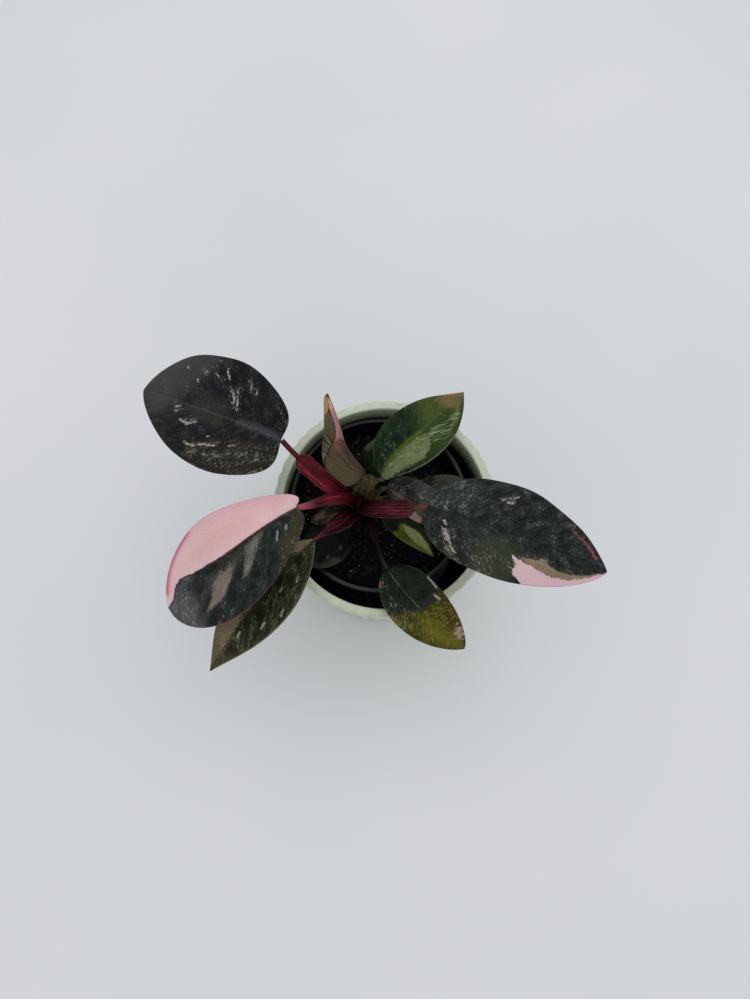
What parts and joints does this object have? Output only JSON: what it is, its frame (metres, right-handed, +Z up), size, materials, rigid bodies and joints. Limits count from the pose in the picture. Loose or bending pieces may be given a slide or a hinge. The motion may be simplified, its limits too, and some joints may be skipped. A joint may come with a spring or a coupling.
{
  "type": "potted philodendron",
  "caption": "Young pink princess philodendron: dark, cream and pink marbled leaves on crimson winged stalks, in a black nursery pot inside a pale green fluted pot.",
  "frame": {"origin": "middle of the outer pot's underside, on the surface that it stands on", "axes": "+Z up along the outer pot's axis; +X runs from the crown to the long leaf at its right, and -Y points to the front, where the lowest leaf hangs over the rim"},
  "size_m": [0.246, 0.1625, 0.1732],
  "materials": {
    "glaze": "satin sage-green glaze",
    "black_plastic": "black moulded plastic",
    "soil": "moist bark and peat potting mix",
    "stem": "matt burgundy stem",
    "crimson_stalk": "satin crimson",
    "burgundy_stalk": "satin burgundy",
    "mottled_stalk": "satin olive, flecked with cream",
    "mottled_leaf": "satin green and beige, marbled",
    "charcoal_leaf": "glossy charcoal green, marbled with pink and cream",
    "moss_leaf": "glossy moss green, marbled with beige",
    "green_leaf": "glossy green, marbled with cream",
    "olive_leaf": "glossy green turning olive yellow",
    "lime_leaf": "satin lime green with a cream middle",
    "taupe_leaf": "satin taupe pink"
  },
  "bodies": {
    "root": {"outer_pot": "glaze", "nursery_pot": "black_plastic", "soil": "soil", "stem": "stem", "leaf_01_stalk": "crimson_stalk", "leaf_02_stalk": "crimson_stalk", "leaf_03_stalk": "burgundy_stalk", "leaf_04_stalk": "burgundy_stalk", "leaf_05_stalk": "mottled_stalk", "leaf_06_stalk": "burgundy_stalk", "leaf_07_stalk": "mottled_stalk", "leaf_08_stalk": "mottled_stalk", "leaf_09_stalk": "mottled_stalk", "leaf_10_stalk": "mottled_stalk", "leaf_11_stalk": "mottled_stalk", "leaf_12_stalk": "mottled_stalk", "leaf_13_stalk": "mottled_stalk", "leaf_01_blade": "charcoal_leaf", "leaf_02_blade": "charcoal_leaf", "leaf_03_blade": "moss_leaf", "leaf_04_blade": "charcoal_leaf", "leaf_05_blade": "green_leaf", "leaf_06_blade": "olive_leaf", "leaf_07_blade": "taupe_leaf", "leaf_08_blade": "lime_leaf", "leaf_09_blade": "charcoal_leaf", "leaf_10_blade": "green_leaf", "leaf_11_blade": "green_leaf", "leaf_12_blade": "green_leaf", "leaf_13_blade": "mottled_leaf"}
  },
  "joints": []
}
